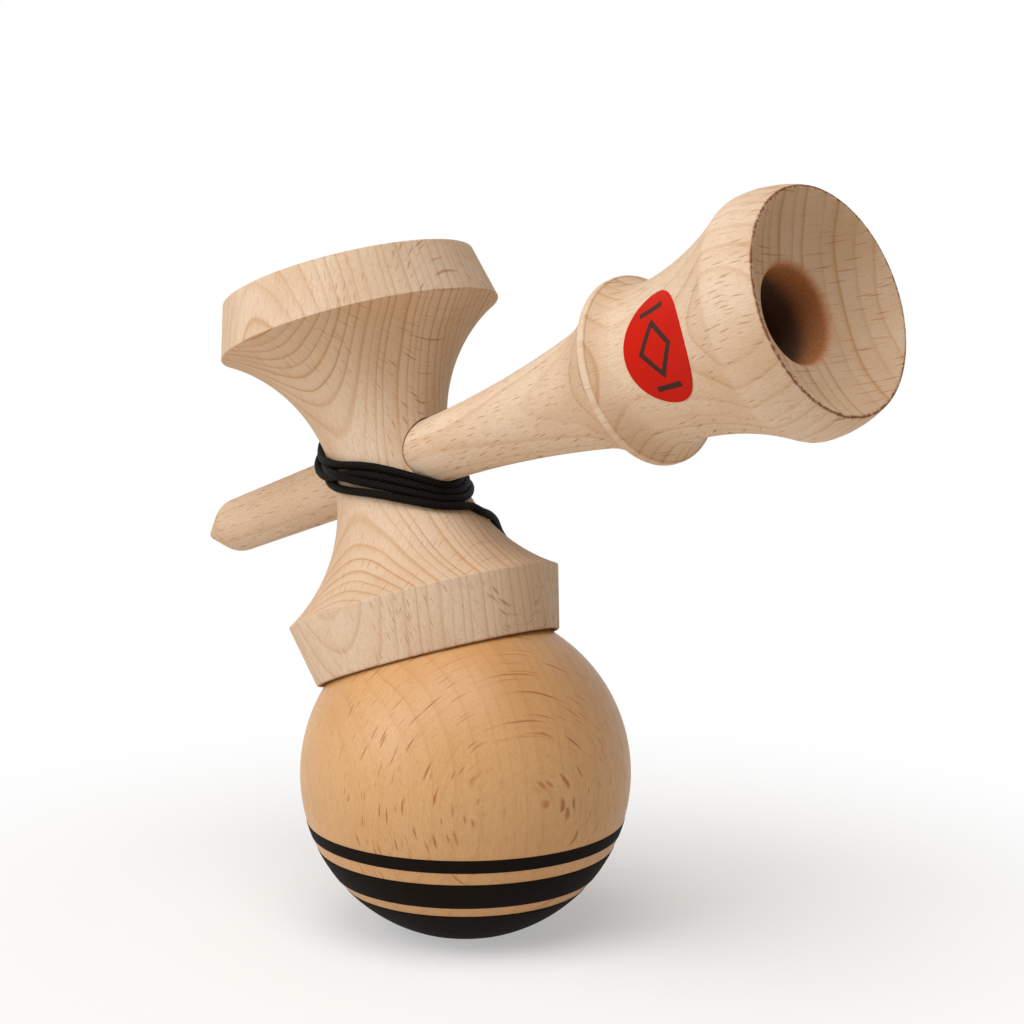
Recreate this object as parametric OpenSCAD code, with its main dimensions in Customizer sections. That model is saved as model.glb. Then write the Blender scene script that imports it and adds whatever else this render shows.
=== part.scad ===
// Cup and ball toy: a turned handle with a spike and a base cup, a cross-piece with two cups,
// and a drilled ball on a string. It stands as it was put away: the ball on its foot, the small
// cup leaning on the ball, the string wound round the cross-piece.
// Millimetres. The origin is the centre of the ball's foot, +Z is up along the ball's axis,
// and +X is the heading of the handle's base cup.

/* [Ball] */
// Diameter of the ball
ball_d = 60; // [56:1:64]
// Radius of the spike hole
spike_hole_r = 8.5; // [7.5:0.25:9.5]
// Depth of the spike hole's straight wall
spike_hole_depth = 33; // [28:0.5:34]
// Width of the flat ring round the spike hole, on which the ball stands
foot_land = 1.3; // [0.8:0.1:2]
// Radius of the string hole
string_hole_r = 1.75; // [1.3:0.05:2.2]
// Rounding of the string hole's mouth
string_hole_round = 2.5; // [1.5:0.1:3]
// Diameter of the bead that holds the string in the ball
bead_d = 9; // [8:0.25:9.5]
// Space round the bead in its chamber
bead_clear = 0.7; // [0.4:0.1:1]
// Gap between the bead and its seat
bead_seat_gap = 0.3; // [0.1:0.05:0.5]

/* [Painted bands] */
// Thickness of the paint
paint_t = 0.1; // [0.05:0.01:0.2]
// Top of the narrow stripe, below the ball's middle
stripe_top = 8.2; // [7:0.1:9]
// Height of the narrow stripe
stripe_h = 2.5; // [1.5:0.1:3]
// Top of the wide band, below the ball's middle
band_top = 13.1; // [12.5:0.1:14]
// Height of the wide band
band_h = 5.2; // [4:0.1:6]
// Top of the painted foot, below the ball's middle
cap_top = 20.3; // [20.2:0.1:22]
// Bare wood left under the painted foot
cap_lift = 0.4; // [0.2:0.1:1]

/* [Cross-piece] */
// Radius of the neck
neck_r = 11.2; // [10.5:0.1:12.5]
// Radius of the hollow curve from the neck out to the cups
flare_r = 29.5; // [28.5:0.5:32]
// Radius of the big cup at its wide edge
big_edge_r = 26.3; // [25:0.1:28]
// Radius of the big cup at its rim
big_rim_r = 23.8; // [23:0.1:24.5]
// Height of the big cup's rim above the neck's middle
big_h = 35.8; // [34:0.2:38]
// Radius of the big cup's dish
big_dish_r = 28; // [26:0.5:32]
// Radius of the small cup at its wide edge
small_edge_r = 25.3; // [24.5:0.1:26.5]
// Radius of the small cup at its rim
small_rim_r = 22.8; // [22.3:0.1:23.2]
// Depth of the small cup's rim below the neck's middle
small_h = 36.7; // [35:0.1:38]
// Radius of the small cup's dish
small_dish_r = 25; // [24:0.5:28]
// Rounding of the cups' rims
rim_round = 0.4; // [0.3:0.05:0.6]

/* [Seat of the small cup on the ball] */
// Lean of the cross-piece away from the base cup, in degrees
lean = 20.4; // [16:0.2:24]
// Sideways tilt of the cross-piece about the handle, in degrees
side_tilt = 2.1; // [0:0.1:3]
// Least gap between the small cup's rim and the ball
seat_gap = 0.25; // [0.2:0.05:0.4]
// Gap on the side where the string passes under the rim
string_room = 1.3; // [1.25:0.05:1.6]
// Side of the cross-piece where that gap is widest, in degrees from the base cup
string_side = 132; // [120:2:140]

/* [Handle] */
// Distance of the handle's axis below the neck's middle
handle_drop = 0.5; // [0:0.1:1]
// Gap between the handle's taper and its hole
taper_gap = 0.06; // [0.03:0.01:0.1]
// Length of the spike from the cross-piece's axis
spike_l = 53.2; // [48:0.2:60]
// Rounding of the spike's tip
tip_round = 1.2; // [0.5:0.1:1.5]
// Half angle of the spike's pointed end, in degrees
spike_angle = 31; // [25:1:40]
// Radius of the spike behind its pointed end
spike_r = 5.2; // [4.8:0.05:5.4]
// Rounding of the spike's shoulder
spike_shoulder = 6.5; // [1:0.25:7]
// Radius of the shaft in the cross-piece
shaft_r = 5.97; // [5.7:0.01:6.2]
// Radius of the curve along which the shaft thickens
shaft_curve_r = 245; // [230:5:280]
// Place where the shaft starts to thicken, from the cross-piece's axis
shaft_x = 5.3; // [2:0.1:8]
// Place of the collar's edge on the shaft's side
collar_x = 63.2; // [61:0.2:64]
// Width of the collar's edge
collar_w = 1.7; // [1.2:0.1:2.4]
// Radius of the collar
collar_r = 16.5; // [15.5:0.1:18]
// Rounding of the collar's edge
collar_edge = 0.4; // [0.2:0.05:0.55]
// Length of the collar's hollow on the shaft's side
collar_hollow_l = 11.2; // [8:0.2:14]
// Length of the collar's hollow on the base cup's side
waist_hollow_l = 4.6; // [3:0.2:6]
// Smallest radius of the base cup's waist
waist_r = 13.65; // [13:0.05:14.5]
// Place of the waist's smallest radius
waist_x = 65.2; // [63:0.2:67]
// Radius of the waist's hollow curve
waist_curve_r = 62.5; // [58:0.5:68]
// Radius of the base cup's bulge
bulge_r = 20.97; // [20:0.01:22]
// Place of the bulge
bulge_x = 95.7; // [94:0.1:97]
// Radius of the bulge's curve
bulge_curve_r = 19.75; // [17:0.25:24]
// Blend between the waist and the bulge
bulge_blend = 0.4; // [0.2:0.1:1]
// Place of the base cup's rim
base_rim_x = 103.6; // [102:0.1:105]
// Thickness of the base cup's rim
base_rim_t = 0.55; // [0.4:0.05:1]
// Radius of the base cup's dish
base_dish_r = 25; // [22:0.5:30]
// Radius of the hole bored in the base cup
base_bore_r = 8.2; // [6.5:0.1:8.5]
// Depth of the straight wall of that hole
base_bore_depth = 24; // [15:0.5:26]
// Rounding of that hole's mouth
base_bore_round = 2; // [0.8:0.1:2.4]

/* [Label] */
// Thickness of the label
label_t = 0.15; // [0.1:0.05:0.3]
// Distance of the label's middle from the collar
label_gap = 14.1; // [13.1:0.5:16.1]
// Length of the label along the handle
label_l = 15.6; // [12:0.2:16]
// Width of the label round the handle
label_w = 19.2; // [15:0.2:22]

/* [String] */
// Diameter of the string
string_d = 1.5; // [1.3:0.05:1.6]
// Gap between the string and what it lies on
string_clear = 0.25; // [0.2:0.05:0.4]
// Gap between neighbouring turns
turn_gap = 0.45; // [0.42:0.01:0.6]
// Whole turns round the neck before the tail leaves
whole_turns = 3; // [2:1:3]
// Height on the neck of the hole that the string comes out of
anchor_h = 3; // [2.4:0.2:3.6]
// Radius of that hole
anchor_hole_r = 1.1; // [0.95:0.05:1.3]
// Radius of the pocket for the knot inside the neck
pocket_r = 2.2; // [2:0.1:2.4]
// Diameter of the knots
knot_d = 3.6; // [3:0.1:3.8]
// Length of the knots
knot_l = 2.7; // [2.2:0.1:2.8]

/* [Hidden] */

fine = 128;
arc_steps = 12;
over = 1;
wood = "burlywood";
honey_wood = "sandybrown";
black = [0.12, 0.11, 0.11];
red = [0.80, 0.14, 0.10];

// Ball
ball_r = ball_d / 2;
foot_r = spike_hole_r + foot_land;
ball_z = sqrt(pow(ball_r, 2) - pow(foot_r, 2));
bead_r = bead_d / 2;
chamber_r = bead_r + bead_clear;
chamber_floor = spike_hole_depth + (spike_hole_r - chamber_r) / 2;
bead_room = bead_d + knot_l + 3 * bead_seat_gap;
chamber_top = chamber_floor + bead_room - chamber_r + string_hole_r;
bead_z = chamber_top + chamber_r - (bead_r + bead_seat_gap) * sqrt(2);
mouth_r = string_hole_r + string_hole_round;
mouth_z = ball_z + sqrt(pow(ball_r - string_hole_round, 2) - pow(mouth_r, 2));
mouth_angle = atan2(mouth_z - ball_z, mouth_r);

// Cross-piece: heights along its own axis, from the neck's middle
flare_centre = neck_r + flare_r;
function flare_edge(edge_r) = sqrt(pow(flare_r, 2) - pow(flare_centre - edge_r, 2));
function flare_at(h, off) = flare_centre - sqrt(pow(flare_r - off, 2) - pow(h, 2));

// Seat: the small cup is shifted to one side, so that its rim clears the ball by seat_gap
// on one side and by string_room on the other
nose_r = small_rim_r - rim_round;
nose_h = small_h - rim_round;
near_r = ball_r + seat_gap + rim_round;
far_r = ball_r + string_room + rim_round;
seat_shift = (pow(far_r, 2) - pow(near_r, 2)) / (4 * nose_r);
seat_h = nose_h + sqrt(pow(near_r, 2) - pow(nose_r - seat_shift, 2));
seat = [seat_shift * cos(string_side), seat_shift * sin(string_side), seat_h];

// The cross-piece's own X (along the handle), Y and Z (along its axis) in the part's frame
lean_turn = [
  [cos(lean), 0, -sin(lean)],
  [0, 1, 0],
  [sin(lean), 0, cos(lean)]
];
tilt_turn = [
  [1, 0, 0],
  [0, cos(side_tilt), sin(side_tilt)],
  [0, -sin(side_tilt), cos(side_tilt)]
];
function on_ball(p) = [0, 0, ball_z] + lean_turn * (tilt_turn * (p + seat));
function round_neck(angle, r, h) = [r * cos(angle), r * sin(angle), h];
function round_ball(polar, side, r) =
  [0, 0, ball_z] + r * [sin(polar) * cos(side), sin(polar) * sin(side), cos(polar)];

// Handle: radius at each place along it, counted from the cross-piece's axis
tip_x = tip_round * (1 - sin(spike_angle)) - spike_l;
shoulder_x = tip_x + (spike_r - tip_round * cos(spike_angle)) / tan(spike_angle);
shaft_start = shoulder_x + spike_shoulder * tan(spike_angle / 2);
collar_end = collar_x + collar_w;
function hollow(x, low, curve_r, at) = low + curve_r - sqrt(pow(curve_r, 2) - pow(x - at, 2));
function crown(x, high, curve_r, at) = high - curve_r + sqrt(pow(curve_r, 2) - pow(max(0, x - at), 2));
function soft_min(a, b, w) = min(a, b) - pow(max(w - abs(a - b), 0) / w, 2) * w / 4;
function shaft(x) = x < shaft_x
  ? spike_r + (shaft_r - spike_r) * (x - shaft_start) / (shaft_x - shaft_start)
  : hollow(x, shaft_r, shaft_curve_r, shaft_x);
function collar_back(x) = shaft(x)
  + (collar_r - collar_edge - shaft(collar_x)) * pow(max(0, 1 - (collar_x - x) / collar_hollow_l), 2);
function waist(x) = hollow(x, waist_r, waist_curve_r, waist_x);
function collar_front(x) = waist(x)
  + (collar_r - collar_edge - waist(collar_end)) * pow(max(0, 1 - (x - collar_end) / waist_hollow_l), 2);
function base_cup(x) = soft_min(collar_front(x), crown(x, bulge_r, bulge_curve_r, bulge_x), bulge_blend);
base_rim_r = base_cup(base_rim_x);
base_mouth_r = base_rim_r - base_rim_t;
base_dish_x = base_rim_x + sqrt(pow(base_dish_r, 2) - pow(base_mouth_r, 2));
bore_edge_r = base_bore_r + base_bore_round;
bore_mouth_x = base_dish_x - sqrt(pow(base_dish_r + base_bore_round, 2) - pow(bore_edge_r, 2));
bore_edge_angle = asin(bore_edge_r / (base_dish_r + base_bore_round));
bore_end_x = bore_mouth_x - base_bore_depth;
drill_point = 0.3;
label_x = collar_end + label_gap;

// String: the winding lies on the neck, below the shaft on the base cup's side
// and above the spike on the other, and is pulled straighter in between
string_r = string_d / 2;
lie = string_r + string_clear;
turn_step = string_d + turn_gap;
spike_room = 0.5;
wind_pull = 3;
wind_soften = 0.5;
start_angle = 90;
tail_angle = 15;
turns = whole_turns + (tail_angle + 360 - start_angle) / 360;
under_shaft = -handle_drop - shaft(flare_at(0, -lie)) - lie;
over_spike = -handle_drop + shaft(-neck_r) + lie + spike_room;
first_under = (360 - start_angle) / 360;
last_over = whole_turns + (180 - start_angle) / 360;
high_turn = under_shaft + turn_step * first_under;
low_turn = over_spike + turn_step * last_over;
wind_mid = (low_turn + high_turn) / 2;
wind_swing = (low_turn - high_turn) / 2;
loop_rings = 24;
tube_sides = 6;
cord_sides = 8;
exit_bend = 3;
exit_fade = 0.3;
bend_step = 18;
knot_start = shaft_r + taper_gap;
pocket_end = knot_start + knot_l + string_clear;
anchor_lip = 0.15;
anchor_face = flare_at(anchor_h, 0) + anchor_lip;
function wind_wave(angle) = let (side = sqrt(pow(sin(angle), 2) + pow(wind_soften, 2)) - wind_soften)
  (2 * wind_pull * side - wind_swing) * cos(angle);
function wind_slope(angle) = (wind_wave(angle + 1) - wind_wave(angle - 1)) * 90 / PI / (neck_r + lie);
function wind_h(u) = let (angle = start_angle + 360 * u)
  wind_mid + wind_wave(angle) - turn_step * u * sqrt(1 + pow(wind_slope(angle), 2));
function ease(s) = s >= 1 ? 1 : s * s * (3 - 2 * s);
exit_heading = let (d = [-1, 0, wind_slope(start_angle)]) d / norm(d);
exit_point = [0, anchor_face, anchor_h];
function exit_at(turned) = exit_point + [0, string_d + exit_bend * sin(turned), 0]
  + exit_bend * (1 - cos(turned)) * exit_heading;
exit_end = exit_at(90);
exit_u = (atan2(exit_end[1], exit_end[0]) - start_angle) / 360;
exit_stand = norm([exit_end[0], exit_end[1]]) - flare_at(exit_end[2], lie);
function wind_at(u) = let (
    settle = ease((u - exit_u) / exit_fade),
    h = wind_h(u) + (exit_end[2] - wind_h(exit_u)) * (1 - settle)
  ) round_neck(start_angle + 360 * u, flare_at(h, lie) + exit_stand * (1 - settle), h);
loop_count = ceil((turns - exit_u) * loop_rings);
loop_points = [for (i = [1 : loop_count]) wind_at(exit_u + (turns - exit_u) * i / loop_count)];
wind_end = loop_points[loop_count - 1];
wind_end_heading = let (d = wind_end - loop_points[loop_count - 2]) d / norm(d);
wind_last = wind_end + string_d * wind_end_heading;
wind_points = concat([exit_point], [for (a = [0 : bend_step : 90]) exit_at(a)], loop_points, [wind_last]);

// The tail's route off the small cup and round a loop on the ball: angle, distance from the axis, height
tail_route = [
  [30, 15.85, -13.9],
  [40, 16.15, -14.4],
  [50, 16.6, -15.1],
  [60, 17.4, -16.3],
  [69, 19.5, -18.8],
  [77, 23.6, -22.8],
  [80, 25.2, -23.8],
  [82.5, 26.2, -25],
  [84.5, 26.6, -26.9],
  [86.5, 26.6, -29.5],
  [89, 26.4, -32.5],
  [91.5, 26.1, -35.5],
  [94.5, 25.8, -38.5],
  [97.5, 25.8, -41],
  [101, 26.4, -42.9],
  [105.5, 26.9, -43.7],
  [110, 26.8, -43.5],
  [113.8, 26.1, -42.4],
  [115.8, 25.1, -40.8],
  [115.8, 23.9, -39.2]
];
// The run under the rim and over the ball: angle from the ball's axis, distance from its middle
run_side = 126;
run_route = [[53, 30.95], [46, 31], [39, 31], [32, 31], [25, 31], [18, 31.1], [12, 31.2]];
// Where the string is squeezed between the rim and the ball
pinch_polar = 59.5;
pinch_r = 30.68;
pinch_tube = 0.5;
pinch_heading = [-cos(pinch_polar) * cos(run_side), -cos(pinch_polar) * sin(run_side), sin(pinch_polar)];
pinch = round_ball(pinch_polar, run_side, pinch_r);
pinch_seam = 0.05;
tail_points = concat(
  [on_ball(wind_last)],
  [for (p = tail_route) on_ball(round_neck(p[0], p[1], p[2]))],
  [pinch - string_d * pinch_heading, pinch - pinch_seam * pinch_heading]
);
tail_radii = [for (i = [0 : len(tail_points) - 1]) i < len(tail_points) - 2 ? string_r : pinch_tube];
// The last bend, over the rounded mouth of the string hole and straight down into it
lead_bend = mouth_r;
lead_top = ball_z + ball_r + lie - lead_bend;
function over_mouth(turned) = let (d = lead_bend * (1 - sin(turned)))
  [d * cos(run_side), d * sin(run_side), lead_top + lead_bend * cos(turned)];
run_end = lead_top - string_d;
run_points = concat(
  [pinch + pinch_seam * pinch_heading, pinch + string_d * pinch_heading],
  [for (p = run_route) round_ball(p[0], run_side, p[1])],
  [for (a = [0 : bend_step : 90]) over_mouth(a)],
  [[0, 0, run_end]]
);
run_radii = [for (i = [0 : len(run_points) - 1]) i < 2 ? pinch_tube : string_r];

// Tube along a list of points: rings square to the path, turned as little as possible
function unit(v) = v / norm(v);
function across(d) = unit(cross(d, abs(d[2]) < 0.9 ? [0, 0, 1] : [1, 0, 0]));
function headings(path) = let (last = len(path) - 1)
  [for (i = [0 : last]) unit(path[min(i + 1, last)] - path[max(i - 1, 0)])];
function end_headings(path) = let (h = headings(path), last = len(path) - 1)
  [for (i = [0 : last]) i == 0 ? unit(path[1] - path[0])
    : i == last ? unit(path[last] - path[last - 1]) : h[i]];
function carried(dirs) =
  [for (i = 0, n = across(dirs[0]); i < len(dirs);
    i = i + 1, n = i < len(dirs) ? unit(n - (n * dirs[i]) * dirs[i]) : n) n];
module tube(path, radii, sides) {
  dirs = end_headings(path);
  sideways = carried(dirs);
  rings = len(path);
  points = [
    for (i = [0 : rings - 1], j = [0 : sides - 1]) path[i] + radii[i]
      * (cos(360 * j / sides) * sideways[i] + sin(360 * j / sides) * cross(dirs[i], sideways[i]))
  ];
  walls = [
    for (i = [0 : rings - 2], j = [0 : sides - 1]) let (
      a = i * sides + j,
      b = i * sides + (j + 1) % sides
    ) each [[a, a + sides, b], [b, a + sides, b + sides]]
  ];
  first_end = [for (j = [1 : sides - 2]) [0, j, j + 1]];
  last = (rings - 1) * sides;
  last_end = [for (j = [1 : sides - 2]) [last, last + j + 1, last + j]];
  polyhedron(points = points, faces = concat(walls, first_end, last_end));
}

function arc(centre, r, from, to) =
  [for (i = [0 : arc_steps]) let (a = from + (to - from) * i / arc_steps) centre + r * [cos(a), sin(a)]];
function path_length(path) = [for (i = 0, s = 0; i < len(path); i = i + 1,
  s = i < len(path) ? s + norm(path[i] - path[i - 1]) : s) s][len(path) - 1];
apart = loop_rings / 2;
self_gaps = [
  for (i = [0 : len(wind_points) - 1], j = [i + 1 : len(wind_points) - 1])
    if (j - i > apart) norm(wind_points[i] - wind_points[j]) - string_d
];
echo(winding_gap = min(self_gaps));
echo(winding_length = path_length(wind_points), tail_length = path_length(tail_points),
  run_length = path_length(run_points));

module on_cross_piece() {
  translate([0, 0, ball_z]) rotate([0, -lean, 0]) rotate([-side_tilt, 0, 0]) translate(seat) children();
}

module on_handle() {
  on_cross_piece() translate([0, 0, -handle_drop]) rotate([0, 90, 0]) children();
}

module whole_ball(r) {
  translate([0, 0, ball_z]) sphere(r = r, $fn = fine);
}

// The ball: spike hole from below, bead chamber, and string hole with a rounded mouth on top
module ball() {
  top = ball_z + ball_r + over;
  mouth_edge = mouth_r + string_hole_round * cos(mouth_angle);
  color(honey_wood) difference() {
    whole_ball(ball_r);
    translate([0, 0, -ball_r]) cube(2 * ball_r, center = true);
    rotate_extrude($fn = fine) polygon(concat(
      [
        [0, -over],
        [spike_hole_r, -over],
        [spike_hole_r, spike_hole_depth],
        [chamber_r, chamber_floor],
        [chamber_r, chamber_top],
        [string_hole_r, chamber_top + chamber_r - string_hole_r]
      ],
      arc([mouth_r, mouth_z], string_hole_round, 180, mouth_angle),
      [[mouth_edge, top], [0, top]]
    ));
  }
}

// A coat of paint on the ball between two heights
module paint(low, high) {
  difference() {
    intersection() {
      whole_ball(ball_r + paint_t);
      translate([0, 0, low]) cylinder(r = ball_d, h = high - low, $fn = fine);
    }
    whole_ball(ball_r);
  }
}

module narrow_stripe() {
  color(black) paint(ball_z - stripe_top - stripe_h, ball_z - stripe_top);
}

module wide_band() {
  color(black) paint(ball_z - band_top - band_h, ball_z - band_top);
}

module painted_foot() {
  color(black) paint(cap_lift, ball_z - cap_top);
}

// A knot drawn tight, standing on its base
module knot() {
  belly = knot_d / 2;
  shoulder = knot_l / 2;
  rotate_extrude($fn = fine) polygon(concat(
    [[0, 0]],
    arc([belly - shoulder, shoulder], shoulder, -90, 90),
    [[0, knot_l]]
  ));
}

module string_bead() {
  color("black") difference() {
    translate([0, 0, bead_z]) sphere(r = bead_r, $fn = fine);
    translate([0, 0, bead_z - bead_d]) cylinder(r = string_r + string_clear, h = 2 * bead_d, $fn = fine);
  }
}

module bead_knot() {
  color(black) translate([0, 0, bead_z - bead_r - bead_seat_gap - knot_l]) knot();
}

// The string from the bead's knot up through the bead into the string hole
module string_lead() {
  foot = bead_z - bead_r - bead_seat_gap;
  color(black) translate([0, 0, foot]) cylinder(r = string_r, h = run_end - foot, $fn = fine);
}

module string_run() {
  color(black) tube(run_points, run_radii, cord_sides);
}

// The cross-piece: two cups on a flaring neck, the handle's tapered hole, and the string's hole
// with a pocket for the knot
module cross_piece() {
  big_edge_h = flare_edge(big_edge_r);
  small_edge_h = flare_edge(small_edge_r);
  big_nose = [big_rim_r - rim_round, big_h - rim_round];
  small_nose = [nose_r, -nose_h];
  big_dish_h = big_nose[1] + sqrt(pow(big_dish_r, 2) - pow(big_nose[0] - rim_round, 2));
  small_dish_h = nose_h + sqrt(pow(small_dish_r, 2) - pow(nose_r - rim_round, 2));
  big_mouth = asin((big_nose[0] - rim_round) / big_dish_r);
  small_mouth = asin((nose_r - rim_round) / small_dish_r);
  flare_low = asin(small_edge_h / flare_r);
  flare_high = asin(big_edge_h / flare_r);
  hole_l = 2 * neck_r;
  color(wood) on_cross_piece() difference() {
    rotate_extrude($fn = fine) polygon(concat(
      arc([0, big_dish_h], big_dish_r, -90, big_mouth - 90),
      arc(big_nose, rim_round, 180, 0),
      arc([flare_centre, 0], flare_r, 180 - flare_high, 180 + flare_low),
      arc(small_nose, rim_round, 0, -180),
      arc([0, -small_dish_h], small_dish_r, 90 - small_mouth, 90)
    ));
    translate([0, 0, -handle_drop]) rotate([0, 90, 0]) rotate_extrude($fn = fine) polygon(concat(
      [[0, -hole_l]],
      [for (x = [-hole_l, shaft_x, 2 * shaft_x, 3 * shaft_x, hole_l]) [shaft(x) + taper_gap, x]],
      [[0, hole_l]]
    ));
    translate([0, 0, anchor_h]) rotate([-90, 0, 0]) cylinder(r = anchor_hole_r, h = hole_l, $fn = fine);
    translate([0, 0, anchor_h]) rotate([-90, 0, 0]) cylinder(r = pocket_r, h = pocket_end, $fn = fine);
  }
}

module string_winding() {
  color(black) on_cross_piece() tube(wind_points, [for (p = wind_points) string_r], tube_sides);
}

module string_tail() {
  color(black) tube(tail_points, tail_radii, cord_sides);
}

// The string in its hole, from the knot to the neck's face
module string_anchor() {
  from = knot_start + knot_l;
  color(black) on_cross_piece() translate([0, from, anchor_h]) rotate([-90, 0, 0])
    cylinder(r = string_r, h = anchor_face - from, $fn = fine);
}

module anchor_knot() {
  color(black) on_cross_piece() translate([0, knot_start, anchor_h]) rotate([-90, 0, 0]) knot();
}

// The handle's outline, turned about its axis: spike, shaft, collar, waist, bulge, dish and bored hole
module handle() {
  step = 1.5;
  collar_start = collar_x - collar_hollow_l;
  back_steps = ceil(collar_hollow_l / step);
  shaft_steps = ceil((collar_start - shaft_x) / (2 * step));
  front_steps = ceil((base_rim_x - collar_end) / step);
  color(wood) on_handle() rotate_extrude($fn = fine) polygon(concat(
    arc([0, tip_round - spike_l], tip_round, -90, -spike_angle),
    arc([spike_r - spike_shoulder, shaft_start], spike_shoulder, -spike_angle, 0),
    [for (i = [0 : shaft_steps - 1]) let (x = shaft_x + (collar_start - shaft_x) * i / shaft_steps)
      [shaft(x), x]],
    [for (i = [0 : back_steps]) let (x = collar_start + collar_hollow_l * i / back_steps)
      [collar_back(x), x]],
    [[collar_r, collar_x + collar_edge], [collar_r, collar_end - collar_edge]],
    [for (i = [0 : front_steps]) let (x = collar_end + (base_rim_x - collar_end) * i / front_steps)
      [base_cup(x), x]],
    arc([0, base_dish_x], base_dish_r, asin(base_mouth_r / base_dish_r) - 90, bore_edge_angle - 90),
    arc([bore_edge_r, bore_mouth_x], base_bore_round, bore_edge_angle + 90, 180),
    [[base_bore_r, bore_end_x], [0, bore_end_x - drill_point * base_bore_r]]
  ));
}

// An oval label stuck on the waist, on the side away from the string's hole
module label() {
  steps = 12;
  edge_step = 6;
  long = label_l / 2 + over;
  places = [for (i = [0 : steps]) label_x - long + 2 * long * i / steps];
  middle_r = base_cup(label_x);
  half_turn = label_w / 2 / middle_r * 180 / PI;
  outline = [
    for (a = [0 : edge_step : 360 - edge_step]) [label_l / 2 * cos(a), middle_r * sin(half_turn * sin(a))]
  ];
  color(red) on_handle() intersection() {
    rotate_extrude($fn = fine) polygon(concat(
      [for (x = places) [base_cup(x), x]],
      [for (i = [steps : -1 : 0]) [base_cup(places[i]) + label_t, places[i]]]
    ));
    translate([0, 0, label_x]) rotate([90, 0, 0]) rotate([0, 0, 90]) linear_extrude(height = 2 * middle_r)
      polygon(outline);
  }
}

ball();
narrow_stripe();
wide_band();
painted_foot();
string_bead();
bead_knot();
string_lead();
string_run();
cross_piece();
string_winding();
string_tail();
string_anchor();
anchor_knot();
handle();
label();
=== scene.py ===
from math import asin, atan2, ceil, cos, degrees, hypot, pi, radians, sin, sqrt, tan

import bmesh
import bpy
import numpy as np
from mathutils import Matrix, Vector


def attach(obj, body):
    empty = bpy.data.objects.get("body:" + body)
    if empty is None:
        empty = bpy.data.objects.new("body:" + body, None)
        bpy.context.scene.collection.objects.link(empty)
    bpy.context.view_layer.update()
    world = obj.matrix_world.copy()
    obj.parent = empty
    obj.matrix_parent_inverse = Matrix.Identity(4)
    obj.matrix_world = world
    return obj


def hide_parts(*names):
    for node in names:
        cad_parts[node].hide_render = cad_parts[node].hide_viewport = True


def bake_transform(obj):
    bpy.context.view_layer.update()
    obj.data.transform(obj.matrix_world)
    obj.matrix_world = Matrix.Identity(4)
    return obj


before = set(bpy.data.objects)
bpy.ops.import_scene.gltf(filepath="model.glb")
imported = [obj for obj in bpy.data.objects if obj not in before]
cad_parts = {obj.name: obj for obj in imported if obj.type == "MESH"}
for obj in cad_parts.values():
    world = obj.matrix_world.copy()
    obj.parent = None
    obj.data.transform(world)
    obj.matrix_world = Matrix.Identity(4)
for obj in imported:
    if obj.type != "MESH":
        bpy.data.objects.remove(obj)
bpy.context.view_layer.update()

# THE BALL
# Beech turned to a sphere and drilled: a wide hole from below for the spike, a narrow one from above
# for the string. It is stained honey-coloured, varnished, and stands on the ring round the spike hole.
MM = 0.001
BALL_R = 30.0
SPIKE_HOLE_R, SPIKE_HOLE_DEPTH, HOLE_EDGE, FOOT_RING = 8.5, 33.0, 0.25, 1.3
FOOT_R = SPIKE_HOLE_R + FOOT_RING
BALL_Z = sqrt(BALL_R**2 - FOOT_R**2)
STRING_HOLE_R, MOUTH_ROUND = 1.75, 2.5
CHAMBER_R, CHAMBER_FLOOR, CHAMBER_TOP = 5.2, 34.65, 43.8


def node(tree, kind, inputs=(), **settings):
    made = tree.nodes.new(kind)
    for name, value in settings.items():
        setattr(made, name, value)
    for key, value in dict(inputs).items():
        if isinstance(value, bpy.types.NodeSocket):
            tree.links.new(value, made.inputs[key])
        else:
            made.inputs[key].default_value = value
    return made


def calc(tree, operation, *values):
    return node(tree, "ShaderNodeMath", enumerate(values), operation=operation).outputs[0]


def xyz(tree, vector):
    return node(tree, "ShaderNodeSeparateXYZ", {0: vector}).outputs


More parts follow.
